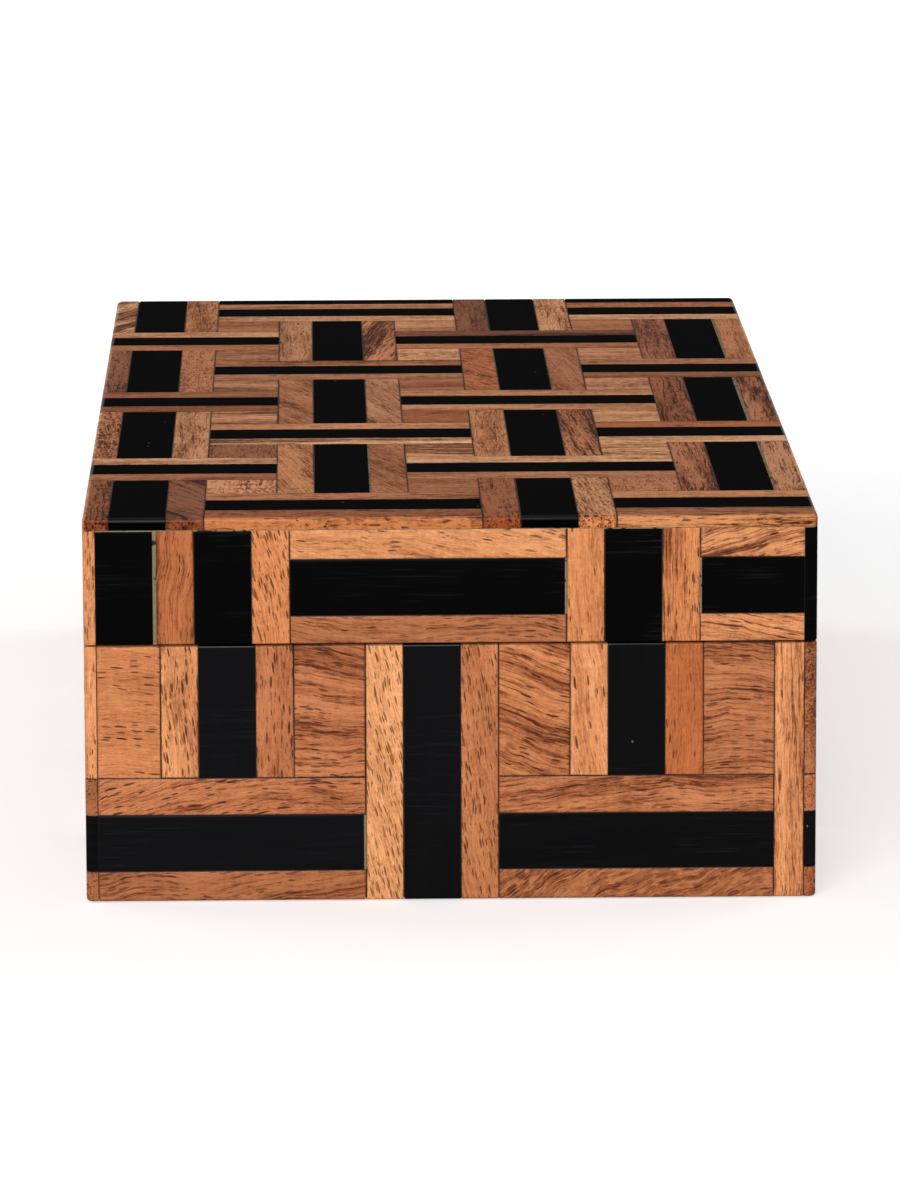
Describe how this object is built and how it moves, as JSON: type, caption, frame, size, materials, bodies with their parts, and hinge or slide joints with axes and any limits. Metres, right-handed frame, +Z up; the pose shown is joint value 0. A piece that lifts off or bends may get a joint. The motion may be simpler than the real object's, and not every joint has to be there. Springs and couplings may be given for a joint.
{
  "type": "storage box",
  "caption": "Rectangular wooden keepsake box clad in a basket weave of brown and black wood strips, with a flush lid on brass stop hinges along one long side.",
  "frame": {"origin": "middle of the underside of the body, without the hinge barrels, on the surface it stands on", "axes": "+Z up, +Y along the length from the near short end to the far one, +X from the opening long side to the hinge long side"},
  "size_m": [0.1541, 0.3, 0.08],
  "materials": {
    "tile_wood": "lacquered, satin gloss",
    "black_wood": "lacquered, glossy",
    "carcass_wood": "sanded, matt",
    "velvet": "short pile velvet",
    "felt": "felt",
    "brass": "polished"
  },
  "bodies": {
    "box_body": {"body_hinge_side_wall": "carcass_wood", "body_opening_side_wall": "carcass_wood", "body_near_end_wall": "carcass_wood", "body_far_end_wall": "carcass_wood", "body_floor_board": "carcass_wood", "base_felt": "felt", "body_floor_velvet": "velvet", "body_near_end_wood_tiles": "tile_wood", "body_near_end_black_strips": "black_wood", "body_hinge_side_wood_tiles": "tile_wood", "body_hinge_side_black_strips": "black_wood", "body_far_end_wood_tiles": "tile_wood", "body_far_end_black_strips": "black_wood", "body_opening_side_wood_tiles": "tile_wood", "body_opening_side_black_strips": "black_wood", "near_hinge_body_leaf": "brass", "near_hinge_body_screw_1": "brass", "near_hinge_body_screw_2": "brass", "near_hinge_pin": "brass", "far_hinge_body_leaf": "brass", "far_hinge_body_screw_1": "brass", "far_hinge_body_screw_2": "brass", "far_hinge_pin": "brass"},
    "lid": {"lid_hinge_side_rail": "carcass_wood", "lid_opening_side_rail": "carcass_wood", "lid_near_end_rail": "carcass_wood", "lid_far_end_rail": "carcass_wood", "lid_top_board": "carcass_wood", "lid_velvet": "velvet", "lid_near_end_wood_tiles": "tile_wood", "lid_near_end_black_strips": "black_wood", "lid_hinge_side_wood_tiles": "tile_wood", "lid_hinge_side_black_strips": "black_wood", "lid_far_end_wood_tiles": "tile_wood", "lid_far_end_black_strips": "black_wood", "lid_opening_side_wood_tiles": "tile_wood", "lid_opening_side_black_strips": "black_wood", "lid_top_wood_tiles": "tile_wood", "lid_top_black_strips": "black_wood", "near_hinge_lid_leaf": "brass", "near_hinge_lid_screw_1": "brass", "near_hinge_lid_screw_2": "brass", "far_hinge_lid_leaf": "brass", "far_hinge_lid_screw_1": "brass", "far_hinge_lid_screw_2": "brass"}
  },
  "joints": [
    {"name": "lid_hinge", "type": "hinge", "parent": "box_body", "child": "lid", "pos_m": [0.0772, 0, 0.0536], "axis": [0, 1, 0], "range_deg": [0, 100]}
  ]
}
